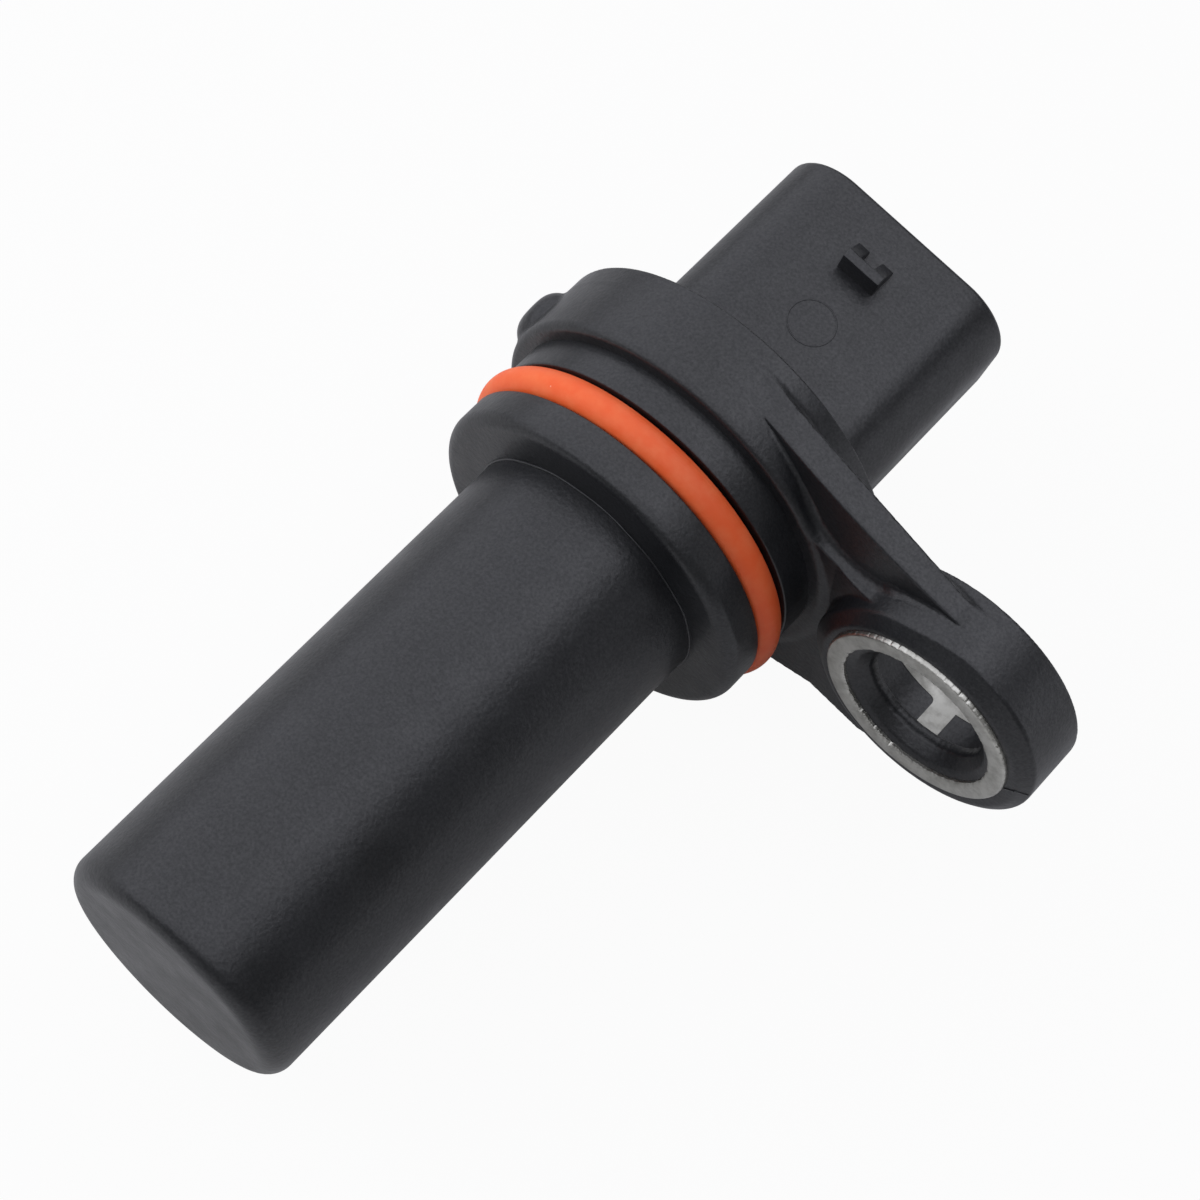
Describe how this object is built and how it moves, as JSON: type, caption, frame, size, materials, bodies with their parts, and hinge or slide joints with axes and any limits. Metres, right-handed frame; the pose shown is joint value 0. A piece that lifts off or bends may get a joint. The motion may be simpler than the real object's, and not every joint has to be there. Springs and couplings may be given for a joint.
{
  "type": "crankshaft position sensor",
  "caption": "Crankshaft position sensor with a plain round nose, a sealed spigot, a flange with one bushed bolt ear and a shrouded plug connector.",
  "frame": {"origin": "on the sensor's axis, in the plane of the bolt bushing's front face, where the sensor sits on the engine block", "axes": "-Y along the nose to its tip, +Y to the connector, +X to the bolt ear, +Z to the side with the connector's lock nib"},
  "size_m": [0.0463, 0.07, 0.0274],
  "materials": {
    "body_plastic": "fine textured black glass-filled nylon",
    "nose_plastic": "fine textured black glass-filled nylon",
    "seal_rubber": "smooth orange silicone rubber with a dull sheen",
    "bushing_steel": "zinc plated rolled steel",
    "carrier_plastic": "dark grey glass-filled polyester",
    "chip_epoxy": "black moulded epoxy",
    "tinned_bronze": "tin plated bronze strip",
    "pole_steel": "bare soft iron",
    "magnet_plating": "nickel plating",
    "capacitor_ceramic": "glazed ceramic"
  },
  "bodies": {
    "root": {"body_moulding": "body_plastic", "nose_cup": "nose_plastic", "o_ring": "seal_rubber", "bolt_bushing": "bushing_steel", "sensor_carrier": "carrier_plastic", "hall_chip": "chip_epoxy", "chip_lead_supply": "tinned_bronze", "chip_lead_signal": "tinned_bronze", "chip_lead_ground": "tinned_bronze", "pole_plate": "pole_steel", "bias_magnet": "magnet_plating", "capacitor_supply": "capacitor_ceramic", "capacitor_signal": "capacitor_ceramic", "terminal_supply": "tinned_bronze", "terminal_signal": "tinned_bronze", "terminal_ground": "tinned_bronze"}
  },
  "joints": []
}
